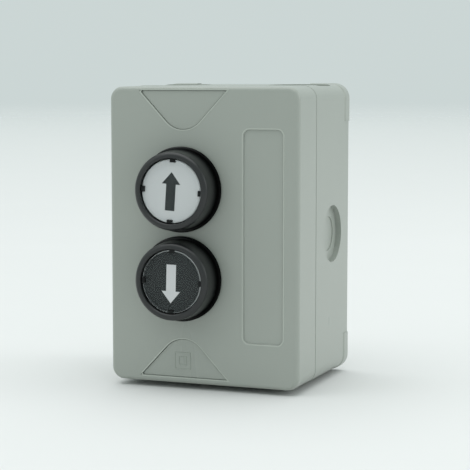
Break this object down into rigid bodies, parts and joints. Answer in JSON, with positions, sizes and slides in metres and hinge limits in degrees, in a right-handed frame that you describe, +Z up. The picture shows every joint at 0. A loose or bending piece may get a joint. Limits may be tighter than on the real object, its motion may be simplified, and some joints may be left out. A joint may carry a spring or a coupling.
{
  "type": "push button control station",
  "caption": "Surface-mounted grey plastic control box with round spring-return push buttons marked with up and down arrows and a blank label field.",
  "frame": {"origin": "on the standing plane, below the middle of the object's bounding box", "axes": "+X to the right seen from the front, -Y out of the front face, +Z up; a button is pressed along +Y"},
  "size_m": [0.0698, 0.0636, 0.1023],
  "materials": {
    "grey_housing": "light grey moulded plastic, fine satin texture",
    "black_moulding": "black moulded plastic, soft sheen",
    "up_legend_plate": "white legend plate with a dark arrow",
    "down_legend_plate": "dark legend plate with a light arrow",
    "clear_lens": "clear moulded lens",
    "seal_rubber": "black sealing rubber",
    "contact_moulding": "dark moulded contact block",
    "plunger_moulding": "natural moulded plunger",
    "contact_metal": "plain contact strip",
    "spring_wire": "drawn spring wire",
    "screw_steel": "zinc-plated screw"
  },
  "bodies": {
    "housing": {"bottom_inlay": "grey_housing", "cover_gasket": "seal_rubber", "cover_screws": "screw_steel", "down_bezel": "black_moulding", "down_contact_holder": "contact_moulding", "down_contact_housing": "contact_moulding", "down_contact_lid": "contact_moulding", "down_fixed_contacts": "contact_metal", "down_fixing_nut": "black_moulding", "down_plunger_spring": "spring_wire", "down_return_spring": "spring_wire", "down_seal_ring": "seal_rubber", "down_terminal_screws": "screw_steel", "front_cover": "grey_housing", "rear_base": "grey_housing", "top_inlay": "grey_housing", "up_bezel": "black_moulding", "up_contact_holder": "contact_moulding", "up_contact_housing": "contact_moulding", "up_contact_lid": "contact_moulding", "up_fixed_contacts": "contact_metal", "up_fixing_nut": "black_moulding", "up_plunger_spring": "spring_wire", "up_return_spring": "spring_wire", "up_seal_ring": "seal_rubber", "up_terminal_screws": "screw_steel"},
    "up_button": {"up_cap": "black_moulding", "up_contact_bridge": "contact_metal", "up_contact_spring": "spring_wire", "up_legend": "up_legend_plate", "up_lens": "clear_lens", "up_plunger": "plunger_moulding"},
    "down_button": {"down_cap": "black_moulding", "down_contact_bridge": "contact_metal", "down_contact_spring": "spring_wire", "down_legend": "down_legend_plate", "down_lens": "clear_lens", "down_plunger": "plunger_moulding"}
  },
  "joints": [
    {"name": "up_button_press", "type": "slide", "parent": "housing", "child": "up_button", "axis": [0, 1, 0], "range_m": [0, 0.0045], "stiffness_N_per_m": 900, "springref_m": -0.002, "deforming": ["up_return_spring", "up_plunger_spring"]},
    {"name": "down_button_press", "type": "slide", "parent": "housing", "child": "down_button", "axis": [0, 1, 0], "range_m": [0, 0.0045], "stiffness_N_per_m": 900, "springref_m": -0.002, "deforming": ["down_return_spring", "down_plunger_spring"]}
  ]
}
